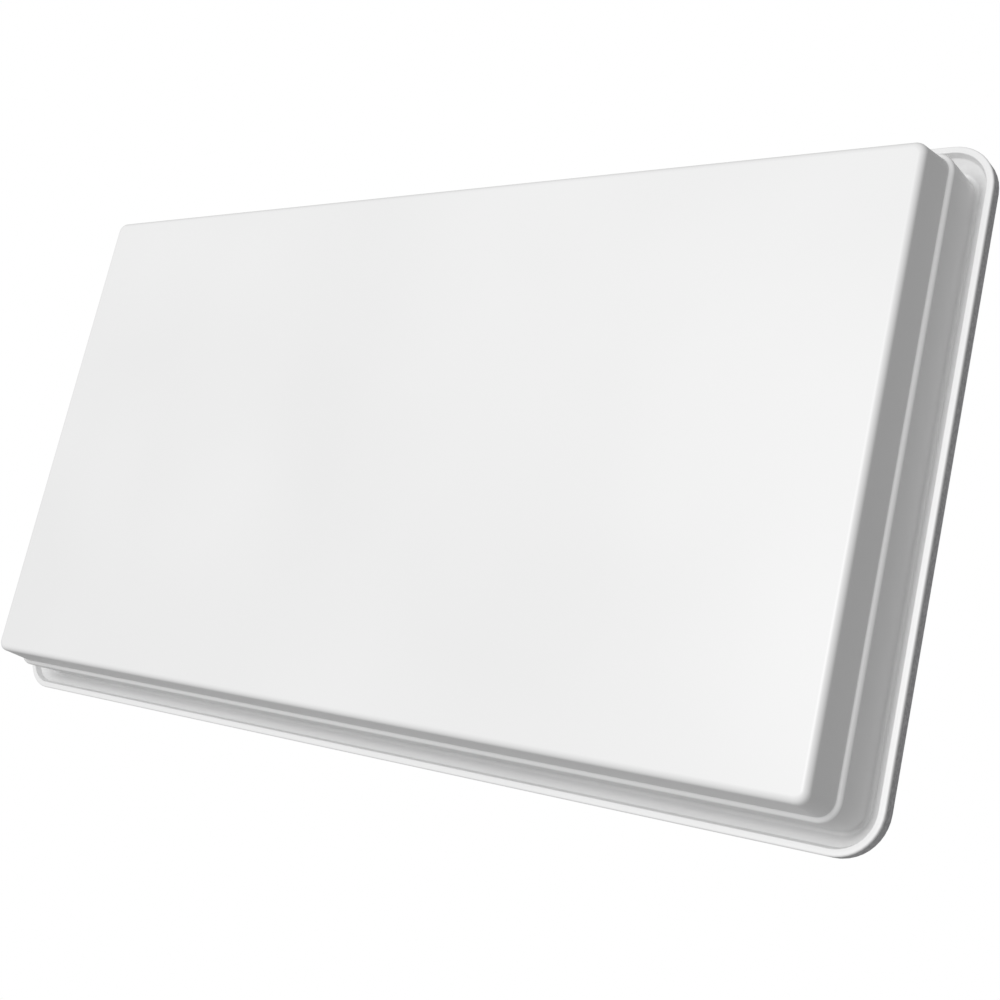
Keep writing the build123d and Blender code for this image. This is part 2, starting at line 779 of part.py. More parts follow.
# ---------------------------------------------------------------- panel bolts
washer_thickness = 1.6
panel_bolt_radius, panel_washer_radius = 3.0, 6.5
panel_bolt_flats, panel_bolt_head = 10.0, 4.0
bolt_end_gap = 2.0
head_chamfer = 0.5
panel_washer_back = yoke_back_station - slip_gap - washer_thickness
with BuildPart() as panel_bolts:
    with BuildSketch(Plane.XZ.offset(panel_washer_back)):
        with Locations(*pillar_places):
            Circle(panel_bolt_radius)
    extrude(amount=back_station - panel_washer_back + pillar_bore_depth - bolt_end_gap)
    with BuildSketch(Plane.XZ.offset(panel_washer_back)):
        with Locations(*pillar_places):
            RegularPolygon(panel_bolt_flats / 2, 6, major_radius=False)
    extrude(amount=-panel_bolt_head)
    chamfer(panel_bolts.faces().group_by(Axis.Y)[-1].edges(), head_chamfer)
save(panel_bolts, "panel_bolts")

with BuildPart() as panel_washers:
    with BuildSketch(Plane.XZ.offset(panel_washer_back)):
        with Locations(*pillar_places):
            Circle(panel_washer_radius)
            Circle(panel_bolt_radius + hole_gap, mode=Mode.SUBTRACT)
    extrude(amount=washer_thickness)
save(panel_washers, "panel_washers")

# ---------------------------------------------------------------- tilt yoke
# A channel of galvanised sheet: a plate behind the panel and an ear each side for the elevation.
pivot_place = (-pivot_station, 0)
lock_place = (
    -pivot_station + lock_radius * cos(radians(lock_angle)),
    lock_radius * sin(radians(lock_angle)),
)
slot_spare = 2.0
skew_slot_width = 2 * (panel_bolt_radius + bolt_gap)
lock_slot_width = 2 * (lock_bolt_radius + bolt_gap)
skew_spare = 1.0
ear_shoulder = 4.0
bend_round = sheet - 0.5
tick_length, tick_width = 2.6, 0.7


def arc_slot(centre, radius, start, sweep, width):
    """A slot that follows an arc about a centre."""
    with BuildLine() as middle:
        CenterArc(centre, radius, start, sweep)
    SlotArc(middle.wire(), width, mode=Mode.SUBTRACT)


with BuildPart() as tilt_yoke:
    with BuildSketch(Plane.XZ.offset(yoke_back_station)):
        RectangleRounded(2 * yoke_half_width, 2 * yoke_half_height, yoke_corner)
        Circle(pivot_boss_radius + running, mode=Mode.SUBTRACT)
        for angle in pillar_angles:
            arc_slot(
                (0, 0),
                skew_radius,
                angle - skew_half_range - skew_spare,
                2 * (skew_half_range + skew_spare),
                skew_slot_width,
            )
    extrude(amount=sheet)
    with BuildSketch(Plane.YZ.offset(yoke_half_width - sheet)):
        with BuildLine():
            Polyline(
                (-yoke_front_station, yoke_half_height - yoke_corner),
                (-yoke_back_station + ear_shoulder, yoke_half_height - yoke_corner),
                (-pivot_station, ear_radius),
                (-pivot_station, -ear_radius),
                (-yoke_back_station + ear_shoulder, yoke_corner - yoke_half_height),
                (-yoke_front_station, yoke_corner - yoke_half_height),
                close=True,
            )
        make_face()
        with Locations(pivot_place):
            Circle(ear_radius)
            Circle(pivot_bolt_radius + running, mode=Mode.SUBTRACT)
        arc_slot(
            pivot_place,
            lock_radius,
            lock_angle - slot_spare,
            elevation_max + 2 * slot_spare,
            lock_slot_width,
        )
    extrude(amount=sheet)
    # Degree marks beside the slot, pressed into the ear's outer face
    with BuildSketch(Plane.YZ.offset(yoke_half_width)):
        with Locations(pivot_place):
            with PolarLocations(
                ear_radius - tick_length, tick_count, lock_angle, elevation_max * tick_count / (tick_count - 1)
            ):
                Rectangle(tick_length, tick_width)
    extrude(amount=-tick_depth, mode=Mode.SUBTRACT)
    outer_bend = tilt_yoke.edges().filter_by(Axis.Z).group_by(Axis.X)[-1].sort_by(Axis.Y).first
    fillet(outer_bend, bend_round)
    mirror(split(tilt_yoke.part, Plane.YZ, keep=Keep.TOP, mode=Mode.PRIVATE), about=Plane.YZ)
save(tilt_yoke, "tilt_yoke")

# ---------------------------------------------------------------- mast bracket
# A second channel, inside the first: a plate for the clamp or a wall, and the fixed ears.
ear_gap = 0.3
bracket_half_width = yoke_half_width - sheet - ear_gap
plate_front = plate_station + sheet
clamp_bolt_places = [(-clamp_bolt_x, 0), (clamp_bolt_x, 0)]
with BuildPart() as mast_bracket:
    with BuildSketch(Plane.XZ.offset(plate_station)):
        Rectangle(2 * bracket_half_width, 2 * plate_half_height)
        with Locations(*clamp_bolt_places):
            Circle(clamp_bolt_radius + hole_gap, mode=Mode.SUBTRACT)
        with GridLocations(2 * wall_hole_x, 2 * wall_hole_z, 2, 2):
            Circle(wall_hole_radius, mode=Mode.SUBTRACT)
    extrude(amount=sheet)
    for side in (-1, 1):
        with BuildSketch(Plane.YZ.offset(side * (bracket_half_width - sheet / 2))):
            with BuildLine():
                Polyline(
                    (-plate_station, plate_half_height),
                    (-plate_front - ear_shoulder, plate_half_height),
                    (-pivot_station - ear_shoulder, bracket_ear_radius - 1),
                    (-pivot_station - ear_shoulder, 1 - bracket_ear_radius),
                    (-plate_front - ear_shoulder, -plate_half_height),
                    (-plate_station, -plate_half_height),
                    close=True,
                )
            make_face()
            with Locations(pivot_place):
                Circle(bracket_ear_radius)
                Circle(pivot_bolt_radius + hole_gap, mode=Mode.SUBTRACT)
            with Locations(lock_place):
                Circle(lock_bolt_radius + hole_gap, mode=Mode.SUBTRACT)
        extrude(amount=sheet / 2, both=True)
    bend_edges = mast_bracket.edges().filter_by(Axis.Z).group_by(Axis.Y)[-1]
    fillet(bend_edges, bend_round)
save(mast_bracket, "mast_bracket")


def along_x(low, high, radius, place, inner=0.0, sides=0):
    """A round or hexagonal slab between two distances from the middle, about an axis along X."""
    with BuildSketch(Plane.YZ.offset(low)) as section:
        with Locations(place):
            if sides:
                RegularPolygon(radius, sides, major_radius=False)
            else:
                Circle(radius)
            if inner:
                Circle(inner, mode=Mode.SUBTRACT)
    extrude(section.sketch, amount=high - low)


# Elevation pivots: a hexagon bolt, washer and locking nut on each side
pivot_washer_radius, pivot_flats, pivot_head = 8.0, 13.0, 5.3
ear_inside = bracket_half_width - sheet
pivot_nut_height = 6.5
bolt_end = 3.0
big_head_chamfer = 0.6
with BuildPart() as pivot_bolts:
    head_at = yoke_half_width + slip_gap + washer_thickness
    along_x(ear_inside - pivot_nut_height - bolt_end, head_at, pivot_bolt_radius, pivot_place)
    along_x(head_at, head_at + pivot_head, pivot_flats / 2, pivot_place, sides=6)
    chamfer(pivot_bolts.faces().sort_by(Axis.X).last.edges(), big_head_chamfer)
    mirror(about=Plane.YZ)
save(pivot_bolts, "pivot_bolts")

with BuildPart() as pivot_washers:
    along_x(
        yoke_half_width + slip_gap, head_at, pivot_washer_radius, pivot_place, pivot_bolt_radius + hole_gap
    )
    mirror(about=Plane.YZ)
save(pivot_washers, "pivot_washers")

with BuildPart() as pivot_nuts:
    along_x(
        ear_inside - pivot_nut_height, ear_inside, pivot_flats / 2, pivot_place, pivot_bolt_radius, sides=6
    )
    mirror(about=Plane.YZ)
save(pivot_nuts, "pivot_nuts")

# Elevation locks: a bolt through the ear's slot, with a washer and a wing nut outside
lock_washer_radius, lock_flats, lock_head = 6.4, 10.0, 4.0
lock_washer_out = yoke_half_width + slip_gap + washer_thickness
wing_start = lock_washer_out + slip_gap
wing_hub_radius, wing_hub_length = 5.2, 6.5
wing_reach, wing_tall, wing_thickness = 13.0, 13.0, 2.6
wing_angle, wing_start_in, wing_root, wing_tip = 60.0, 0.5, 2.0, 3.5
lock_bolt_end = 5.0
with BuildPart() as lock_bolts:
    along_x(ear_inside, wing_start + wing_hub_length + lock_bolt_end, lock_bolt_radius, lock_place)
    along_x(ear_inside - lock_head, ear_inside, lock_flats / 2, lock_place, sides=6)
    mirror(about=Plane.YZ)
save(lock_bolts, "lock_bolts")

with BuildPart() as lock_washers:
    along_x(
        yoke_half_width + slip_gap,
        lock_washer_out,
        lock_washer_radius,
        lock_place,
        lock_bolt_radius + hole_gap,
    )
    mirror(about=Plane.YZ)
save(lock_washers, "lock_washers")


def wing_nut(side, name):
    """A wing nut on one side: side is 1 on the right and -1 on the left."""
    with BuildPart() as nut:
        along_x(wing_start, wing_start + wing_hub_length, wing_hub_radius, lock_place)
        turned = radians(wing_angle)
        wing_plane = Plane(
            origin=(0, lock_place[0], lock_place[1]),
            x_dir=(0, cos(turned), sin(turned)),
            z_dir=(0, -sin(turned), cos(turned)),
        )
        with BuildSketch(wing_plane):
            for way in (-1, 1):
                with BuildLine():
                    Polyline(
                        (way * wing_root, -wing_start - wing_start_in),
                        (way * wing_root, -wing_start - wing_hub_length),
                        (way * (wing_reach - wing_tip), -wing_start - wing_tall),
                        (way * wing_reach, -wing_start - wing_tall + wing_root),
                        (way * wing_reach, -wing_start - wing_hub_length + 1),
                        (way * wing_hub_radius, -wing_start - wing_start_in),
                        close=True,
                    )
                make_face()
        extrude(amount=wing_thickness / 2, both=True)
        with BuildSketch(Plane.YZ.offset(wing_start)):
            with Locations(lock_place):
                Circle(lock_bolt_radius + running)
        extrude(amount=wing_tall + 3, mode=Mode.SUBTRACT)
        if side < 0:
            mirror(about=Plane.YZ, mode=Mode.REPLACE)
    save(nut, name)


wing_nut(-1, "wing_nut_left")
wing_nut(1, "wing_nut_right")

# ---------------------------------------------------------------- mast clamp
seat_angle, seat_shoulder = 58.0, 6.0
seat_half = mast_radius * sin(radians(seat_angle))


def jaw(way, name):
    """A cast jaw: way is -1 for the fixed one in front of the mast and 1 for the loose one behind it."""
    with BuildPart() as piece:
        with BuildSketch(Plane.XY.offset(-jaw_half_height)):
            with BuildLine():
                Polyline(
                    (-jaw_half_width, way * plate_station),
                    (jaw_half_width, way * plate_station),
                    (jaw_half_width, way * (plate_station - jaw_web)),
                    (seat_half + seat_shoulder, way * jaw_mouth),
                    (-seat_half - seat_shoulder, way * jaw_mouth),
                    (-jaw_half_width, way * (plate_station - jaw_web)),
                    close=True,
                )
            make_face()
            Circle(mast_radius, mode=Mode.SUBTRACT)
        extrude(amount=2 * jaw_half_height)
        with BuildSketch(Plane.XZ.offset(-way * plate_station)):
            with Locations(*clamp_bolt_places):
                Circle(clamp_bolt_radius + (running if way > 0 else hole_gap))
        extrude(amount=way * (plate_station - jaw_mouth + 1), mode=Mode.SUBTRACT)
    save(piece, name)


jaw(-1, "fixed_jaw")
jaw(1, "loose_jaw")

clamp_flats, clamp_head, clamp_nut_height = 13.0, 5.3, 6.5
clamp_washer_radius, clamp_bolt_end = 8.0, 4.0
clamp_end = plate_station + washer_thickness + clamp_nut_height + jaw_slide + clamp_bolt_end
with BuildPart() as clamp_bolts:
    with BuildSketch(Plane.XZ.offset(-clamp_end)):
        with Locations(*clamp_bolt_places):
            Circle(clamp_bolt_radius)
    extrude(amount=clamp_end + plate_front)
    chamfer(clamp_bolts.faces().group_by(Axis.Y)[-1].edges(), big_head_chamfer)
    with BuildSketch(Plane.XZ.offset(plate_front)):
        with Locations(*clamp_bolt_places):
            RegularPolygon(clamp_flats / 2, 6, major_radius=False)
    extrude(amount=clamp_head)
save(clamp_bolts, "clamp_bolts")

with BuildPart() as clamp_washers:
    with BuildSketch(Plane.XZ.offset(-plate_station)):
        with Locations(*clamp_bolt_places):
            Circle(clamp_washer_radius)
            Circle(clamp_bolt_radius + hole_gap, mode=Mode.SUBTRACT)
    extrude(amount=-washer_thickness)
save(clamp_washers, "clamp_washers")

with BuildPart() as clamp_nuts:
    with BuildSketch(Plane.XZ.offset(-plate_station - washer_thickness)):
        with Locations(*clamp_bolt_places):
            RegularPolygon(clamp_flats / 2, 6, major_radius=False)
            Circle(clamp_bolt_radius + running, mode=Mode.SUBTRACT)
    extrude(amount=-clamp_nut_height)
save(clamp_nuts, "clamp_nuts")
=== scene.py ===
import math

import bmesh
import bpy
from mathutils import Matrix, Vector


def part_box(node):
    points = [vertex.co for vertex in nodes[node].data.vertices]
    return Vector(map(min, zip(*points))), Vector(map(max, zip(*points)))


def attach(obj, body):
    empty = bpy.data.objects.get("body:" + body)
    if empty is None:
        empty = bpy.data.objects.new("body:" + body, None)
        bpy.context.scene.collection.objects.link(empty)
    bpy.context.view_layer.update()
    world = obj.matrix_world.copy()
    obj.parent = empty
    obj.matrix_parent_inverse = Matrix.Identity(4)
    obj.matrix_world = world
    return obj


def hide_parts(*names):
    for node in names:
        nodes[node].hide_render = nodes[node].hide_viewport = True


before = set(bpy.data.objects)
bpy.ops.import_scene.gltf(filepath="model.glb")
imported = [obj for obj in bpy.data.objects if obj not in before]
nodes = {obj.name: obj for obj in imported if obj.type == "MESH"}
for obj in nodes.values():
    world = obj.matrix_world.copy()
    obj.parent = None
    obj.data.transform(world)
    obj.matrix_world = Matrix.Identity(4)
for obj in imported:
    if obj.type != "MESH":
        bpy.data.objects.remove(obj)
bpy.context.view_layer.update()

# ---------------------------------------------------------------- where the antenna stands
# The panel is seen from its right, a little below its middle, so its right and lower sides show.
# The camera looks up at it from close by, and leans a little, as a hand-held one does.
panel_low, panel_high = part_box("radome")
panel_middle = (panel_low + panel_high) / 2
camera_lens, sensor_width = 55.2, 36.0
camera_place = Vector((0.4929, panel_low.y - 0.4870, panel_middle.z - 0.1498))
camera_axis = Vector((-0.63342, 0.74935, 0.19311)).normalized()
camera_up = Vector((-0.04956, -0.28839, 0.95624))


def place_camera():
    """The camera, at its place, looking along its axis with its own up direction."""
    camera_data = bpy.data.cameras.new("camera")
    camera_data.lens = camera_lens
    camera_data.sensor_width = sensor_width
    camera_data.clip_start = 0.01
    camera = bpy.data.objects.new("camera", camera_data)
    bpy.context.scene.collection.objects.link(camera)
    right = camera_axis.cross(camera_up).normalized()
    camera.location = camera_place
    camera.rotation_euler = Matrix((right, right.cross(camera_axis), -camera_axis)).transposed().to_euler()
    bpy.context.scene.camera = camera


place_camera()


# ---------------------------------------------------------------- studio
# A pale floor well below the antenna, an even white room, one large soft light in front of it and a
# weaker one straight behind, which lights the back for other views and nothing that shows here.
def linear(hex_colour):
    """An sRGB hex colour as linear red, green, blue and alpha."""
    channels = [int(hex_colour[i : i + 2], 16) / 255 for i in (1, 3, 5)]
    curve = [c / 12.92 if c <= 0.04045 else ((c + 0.055) / 1.055) ** 2.4 for c in channels]
    return (*curve, 1.0)


def add_node(tree, kind, settings=(), inputs=(), links=()):
    """Adds a node, sets its properties and inputs, and links other nodes' outputs to its inputs."""
    node = tree.nodes.new(kind)
    for name, value in dict(settings).items():
        setattr(node, name, value)
    for name, value in dict(inputs).items():
        node.inputs[name].default_value = value
    for name, output in dict(links).items():
        tree.links.new(output, node.inputs[name])
    return node


floor_size, floor_drop = 2.4, 1.3
room_strength = 0.34
key_size, key_power = 1.5, 68.5
key_from = Vector((-0.30, -3.1, 0.28))
rear_size, rear_power = 1.2, 22.0
rear_from = Vector((-0.35, 2.6, 1.0))


def build_studio():
    """Floor, room, key light and rear light. The room is plain white where the camera sees it."""
    mesh = bpy.data.meshes.new("floor")
    half, level = floor_size / 2, panel_middle.z - floor_drop
    mesh.from_pydata(
        [(-half, -half, level), (half, -half, level), (half, half, level), (-half, half, level)],
        [],
        [(0, 1, 2, 3)],
    )
    floor = bpy.data.objects.new("floor", mesh)
    bpy.context.scene.collection.objects.link(floor)
    paint = bpy.data.materials.new("studio_floor_paint")
    paint.use_nodes = True
    shader = paint.node_tree.nodes["Principled BSDF"]
    shader.inputs["Base Color"].default_value = linear("#CFCFCF")
    shader.inputs["Roughness"].default_value = 0.9
    mesh.materials.append(paint)

    world = bpy.data.worlds.new("white_room")
    world.use_nodes = True
    tree = world.node_tree
    tree.nodes.clear()
    white = linear("#FFFFFF")
    room = add_node(tree, "ShaderNodeBackground", inputs={"Color": white, "Strength": room_strength})
    backdrop = add_node(tree, "ShaderNodeBackground", inputs={"Color": white, "Strength": 1.0})
    ray = add_node(tree, "ShaderNodeLightPath")
    mix = add_node(tree, "ShaderNodeMixShader", links={"Fac": ray.outputs["Is Camera Ray"]})
    tree.links.new(room.outputs[0], mix.inputs[1])
    tree.links.new(backdrop.outputs[0], mix.inputs[2])
    add_node(tree, "ShaderNodeOutputWorld", links={"Surface": mix.outputs[0]})
    bpy.context.scene.world = world

    for name, place, size, power in (
        ("key", key_from, key_size, key_power),
        ("rear", rear_from, rear_size, rear_power),
    ):
        light = bpy.data.lights.new(name, "AREA")
        light.shape = "DISK"
        light.size = size
        light.energy = power
        lamp = bpy.data.objects.new(name, light)
        lamp.location = place
        lamp.rotation_euler = (panel_middle - place).to_track_quat("-Z", "Y").to_euler()
        bpy.context.scene.collection.objects.link(lamp)
    bpy.context.scene.view_settings.view_transform = "Standard"


build_studio()


# ---------------------------------------------------------------- radome
# One injection moulding in white ASA, the plastic of outdoor housings: even white, satin, with the
# faint unevenness of a large flat moulding and a very fine grain from the mould.
def new_material(name, base, roughness, metallic=0.0):
    """An empty material with a shader set to constant values: returns the material, tree, shader."""
    material = bpy.data.materials.new(name)
    material.use_nodes = True
    tree = material.node_tree
    shader = tree.nodes["Principled BSDF"]
    shader.inputs["Base Color"].default_value = linear(base)
    shader.inputs["Roughness"].default_value = roughness
    shader.inputs["Metallic"].default_value = metallic
    return material, tree, shader


def wear(node_name, material):
    """Gives a CAD node one material in every slot."""
    slots = nodes[node_name].material_slots
    if not slots:
        nodes[node_name].data.materials.append(material)
    for place in slots:
        place.material = material


def white_asa():
    """White ASA: its tone drifts over about a hand's width, and a 0.8 mm grain dulls it evenly."""
    material, tree, shader = new_material("white_asa_moulding", "#E6E6E6", 0.42)
    where = add_node(tree, "ShaderNodeTexCoord")
    drift = add_node(
        tree,
        "ShaderNodeTexNoise",
        inputs={"Scale": 1 / 0.143, "Detail": 2.0, "Roughness": 0.4},
        links={"Vector": where.outputs["Object"]},
    )
    tone = add_node(tree, "ShaderNodeValToRGB", links={"Fac": drift.outputs["Fac"]})
    first, last = tone.color_ramp.elements
    first.position, first.color = 0.3, linear("#E4E4E4")
    last.position, last.color = 0.7, linear("#E8E8E8")
    tree.links.new(tone.outputs["Color"], shader.inputs["Base Color"])
    grain = add_node(
        tree,
        "ShaderNodeTexNoise",
        inputs={"Scale": 1 / 0.0008, "Detail": 2.0, "Roughness": 0.5},
        links={"Vector": where.outputs["Object"]},
    )
    relief = add_node(
        tree,
        "ShaderNodeBump",
        inputs={"Strength": 0.06, "Distance": 0.0001},
        links={"Height": grain.outputs["Fac"]},
    )
    tree.links.new(relief.outputs["Normal"], shader.inputs["Normal"])
    return material


wear("radome", white_asa())


# ---------------------------------------------------------------- rear cover
# Grey ASA with a spark-eroded mould texture, screwed to the radome's posts from behind. Only its
# rim shows from the front, as a darker, slightly speckled band round the lip.
def grey_textured_asa():
    """Grey ASA: pits and specks half a millimetre across, drawn 1.43 mm across so that they show."""
    material, tree, shader = new_material("grey_asa_spark_texture", "#B8B8B9", 0.6)
    where = add_node(tree, "ShaderNodeTexCoord")
    specks = add_node(
        tree,
        "ShaderNodeTexNoise",
        inputs={"Scale": 1 / 0.00143, "Detail": 3.0, "Roughness": 0.65},
        links={"Vector": where.outputs["Object"]},
    )
    tone = add_node(tree, "ShaderNodeValToRGB", links={"Fac": specks.outputs["Fac"]})
    first, last = tone.color_ramp.elements
    first.position, first.color = 0.32, linear("#A2A2A4")
    last.position, last.color = 0.68, linear("#C8C8C9")
    tree.links.new(tone.outputs["Color"], shader.inputs["Base Color"])
    relief = add_node(
        tree,
        "ShaderNodeBump",
        inputs={"Strength": 0.35, "Distance": 0.0002},
        links={"Height": specks.outputs["Fac"]},
    )
    tree.links.new(relief.outputs["Normal"], shader.inputs["Normal"])
    return material


wear("rear_cover", grey_textured_asa())


# ---------------------------------------------------------------- rim seal, closing screws and vent
# A black silicone cord lies in the cover's land. Fourteen stainless pan-head screws close the panel
# from behind, and a black plug with a white porous film lets it breathe.
def mottled(name, dark, light, roughness, metallic, grain, relief, stretch=(1.0, 1.0, 1.0)):
    """A material whose tone, gloss and height all follow one noise, with grains of a given width.

    Most of the real grains are finer than can show, so their widths are drawn up to ten times as coarse.
    """
    material, tree, shader = new_material(name, light, roughness, metallic)
    where = add_node(tree, "ShaderNodeTexCoord")
    scaled = add_node(
        tree,
        "ShaderNodeMapping",
        inputs={"Scale": stretch},
        links={"Vector": where.outputs["Object"]},
    )
    noise = add_node(
        tree,
        "ShaderNodeTexNoise",
        inputs={"Scale": 1 / grain, "Detail": 3.0, "Roughness": 0.6},
        links={"Vector": scaled.outputs["Vector"]},
    )
    tone = add_node(tree, "ShaderNodeValToRGB", links={"Fac": noise.outputs["Fac"]})
    first, last = tone.color_ramp.elements
    first.position, first.color = 0.3, linear(dark)
    last.position, last.color = 0.7, linear(light)
    tree.links.new(tone.outputs["Color"], shader.inputs["Base Color"])
    drift = 0.07
    gloss = add_node(
        tree,
        "ShaderNodeMapRange",
        inputs={"To Min": roughness + drift, "To Max": roughness - drift},
        links={"Value": noise.outputs["Fac"]},
    )
    tree.links.new(gloss.outputs["Result"], shader.inputs["Roughness"])
    height = add_node(
        tree,
        "ShaderNodeBump",
        inputs={"Strength": 0.4, "Distance": relief},
        links={"Height": noise.outputs["Fac"]},
    )
    tree.links.new(height.outputs["Normal"], shader.inputs["Normal"])
    return material


# Silicone rubber: black and matt, with a faint powdery unevenness
silicone = mottled("black_silicone_rubber", "#161617", "#232324", 0.62, 0.0, 0.00111, 0.00005)
# Stainless screws: bright grey, with fine marks of turning
stainless = mottled("turned_stainless_steel", "#B2B3B5", "#C6C7C9", 0.3, 1.0, 0.00143, 0.00002)
wear("rim_gasket", silicone)
wear("cover_screws", stainless)

# Black acetal: a little glossier than the rubber
wear("vent_plug", mottled("black_acetal_moulding", "#1D1D1E", "#2A2A2B", 0.42, 0.0, 0.002, 0.00003))
# Expanded PTFE: pure white and dull
wear("vent_film", mottled("white_porous_ptfe", "#E2E2E0", "#F0F0EE", 0.85, 0.0, 0.000667, 0.00004))


# ---------------------------------------------------------------- array stack
# Under the front a polyethylene foam sheet, then the horn plate and the two feed plates, moulded in
# plastic and plated bright, and the rolled aluminium chassis plate they are screwed to.
def polyethylene_foam():
    """Closed-cell foam: cells 1.54 mm wide that show as dimples in its skin."""
    material, tree, shader = new_material("closed_cell_polyethylene_foam", "#E4E3DA", 0.9)
    where = add_node(tree, "ShaderNodeTexCoord")
    cells = add_node(
        tree,
        "ShaderNodeTexVoronoi",
        inputs={"Scale": 1 / 0.00154},
        links={"Vector": where.outputs["Object"]},
    )
    tone = add_node(tree, "ShaderNodeValToRGB", links={"Fac": cells.outputs["Distance"]})
    first, last = tone.color_ramp.elements
    first.position, first.color = 0.1, linear("#D6D5CB")
    last.position, last.color = 0.7, linear("#ECEBE4")
    tree.links.new(tone.outputs["Color"], shader.inputs["Base Color"])
    height = add_node(
        tree,
        "ShaderNodeBump",
        inputs={"Strength": 0.6, "Distance": 0.0003},
        links={"Height": cells.outputs["Distance"]},
    )
    tree.links.new(height.outputs["Normal"], shader.inputs["Normal"])
    return material


# Nickel on a moulded plate: a warm mirror whose tone drifts as the bath plated it
plated_plastic = mottled("bright_nickel_on_plastic", "#B9B8B1", "#CFCEC8", 0.22, 1.0, 0.00625, 0.00003)
# Rolling leaves fine lines along the panel's length, so the noise is stretched along X
rolled_aluminium = mottled(
    "rolled_aluminium_sheet", "#B5B7B9", "#CBCDCF", 0.34, 1.0, 0.025, 0.00003, (1.0, 30.0, 30.0)
)
wear("foam_sheet", polyethylene_foam())
for plate in ("horn_plate", "upper_feed_plate", "lower_feed_plate"):
    wear(plate, plated_plastic)
wear("chassis_plate", rolled_aluminium)
wear("array_screws", stainless)


# ---------------------------------------------------------------- waveguide port and pillars
# Both are turned from aluminium bar. The port is pressed into the chassis plate, and the four pillars
# are screwed to it and stand through the cover, where the bracket's bolts meet them.
# Turning leaves fine rings about the bar's axis, which lies along Y, so the noise is pressed along Y
turned_aluminium = mottled(
    "turned_aluminium_bar", "#B0B2B4", "#C9CBCD", 0.28, 1.0, 0.0167, 0.00002, (1.0, 25.0, 1.0)
)
wear("waveguide_port", turned_aluminium)
wear("mount_pillars", turned_aluminium)
wear("pillar_screws", stainless)


# ---------------------------------------------------------------- converter
# A die-cast box screwed to the chassis plate by four lugs, closed by a sheet lid on a rubber gasket.
# Inside stands the circuit board on brass posts, with two gold-plated probes in the port.

# Shot-blasted aluminium: pale grey and dull, dimpled by the shot
diecast = mottled("shot_blasted_die_casting", "#A9ABAD", "#C0C2C4", 0.52, 0.6, 0.00125, 0.00012)
# Brass: yellow and bright, with fine marks of turning
turned_brass = mottled("turned_brass", "#B8933F", "#D0AC57", 0.27, 1.0, 0.002, 0.00002)


def solder_mask():
    """Green lacquer over copper: tracks 3.85 mm apart show as paler lines under it."""
    material, tree, shader = new_material("green_solder_mask", "#0F5A35", 0.32)
    where = add_node(tree, "ShaderNodeTexCoord")
    tracks = add_node(
        tree,
        "ShaderNodeTexVoronoi",
        settings={"feature": "DISTANCE_TO_EDGE"},
        inputs={"Scale": 1 / 0.00385, "Randomness": 0.25},
        links={"Vector": where.outputs["Object"]},
    )
    tone = add_node(tree, "ShaderNodeValToRGB", links={"Fac": tracks.outputs["Distance"]})
    first, last = tone.color_ramp.elements
    first.position, first.color = 0.05, linear("#2E8A58")
    last.position, last.color = 0.08, linear("#0F5A35")
    tree.links.new(tone.outputs["Color"], shader.inputs["Base Color"])
    return material


for piece in ("converter_housing", "converter_lid"):
    wear(piece, diecast)
wear("converter_gasket", silicone)
wear("circuit_board", solder_mask())
wear("board_posts", turned_brass)
wear("waveguide_probes", turned_brass)
wear("lid_screws", stainless)
wear("lug_screws", stainless)


# ---------------------------------------------------------------- output connectors
# Two threaded shells of nickel-plated brass, screwed into the converter's floor and held to the cover
# by a flat nut on a rubber seal. Each holds a white insulator with a brass contact.

# Nickel on brass: bright, with a warm tint from the brass under it
nickel = mottled("nickel_on_turned_brass", "#BDB8AB", "#D2CDC1", 0.24, 1.0, 0.00167, 0.00002)
# Polyethylene: milky white and waxy
white_polyethylene = mottled("white_polyethylene", "#DEDED8", "#ECECE7", 0.5, 0.0, 0.0025, 0.00002)
thread_pitch, thread_depth = 0.000794, 0.00042
mouth_cut, mouth_depth = 0.0007, 0.0003
shell_relief, tail_relief = 0.0002, 0.0008
housing_floor = 0.0025


def helix_group():
    """Geometry Nodes: a ridge of diamond section that winds up about Z, with its size as inputs."""
    group = bpy.data.node_groups.new("screw_thread", "GeometryNodeTree")
    for name in ("Radius", "Pitch", "Length", "Depth"):
        group.interface.new_socket(name, in_out="INPUT", socket_type="NodeSocketFloat")
    group.interface.new_socket("Material", in_out="INPUT", socket_type="NodeSocketMaterial")
    group.interface.new_socket("Geometry", in_out="OUTPUT", socket_type="NodeSocketGeometry")
    given = group.nodes.new("NodeGroupInput").outputs
    turns = add_node(group, "ShaderNodeMath", settings={"operation": "DIVIDE"})
    group.links.new(given["Length"], turns.inputs[0])
    group.links.new(given["Pitch"], turns.inputs[1])
    spiral = add_node(
        group,
        "GeometryNodeCurveSpiral",
        inputs={"Resolution": 40},
        links={
            "Rotations": turns.outputs[0],
            "Start Radius": given["Radius"],
            "End Radius": given["Radius"],
            "Height": given["Length"],
        },
    )
    upright = add_node(
        group,
        "GeometryNodeSetCurveNormal",
        settings={"mode": "Z_UP"},
        links={"Curve": spiral.outputs["Curve"]},
    )
    section = add_node(
        group,
        "GeometryNodeCurvePrimitiveCircle",
        inputs={"Resolution": 4},
        links={"Radius": given["Depth"]},
    )
    ridge = add_node(
        group,
        "GeometryNodeCurveToMesh",
        links={"Curve": upright.outputs["Curve"], "Profile Curve": section.outputs["Curve"]},
    )
    real = add_node(group, "GeometryNodeRealizeInstances", links={"Geometry": ridge.outputs["Mesh"]})
    painted = add_node(
        group,
        "GeometryNodeSetMaterial",
        links={"Geometry": real.outputs["Geometry"], "Material": given["Material"]},
    )
    end = group.nodes.new("NodeGroupOutput")
    group.links.new(painted.outputs["Geometry"], end.inputs["Geometry"])
    return group


thread_group = helix_group()


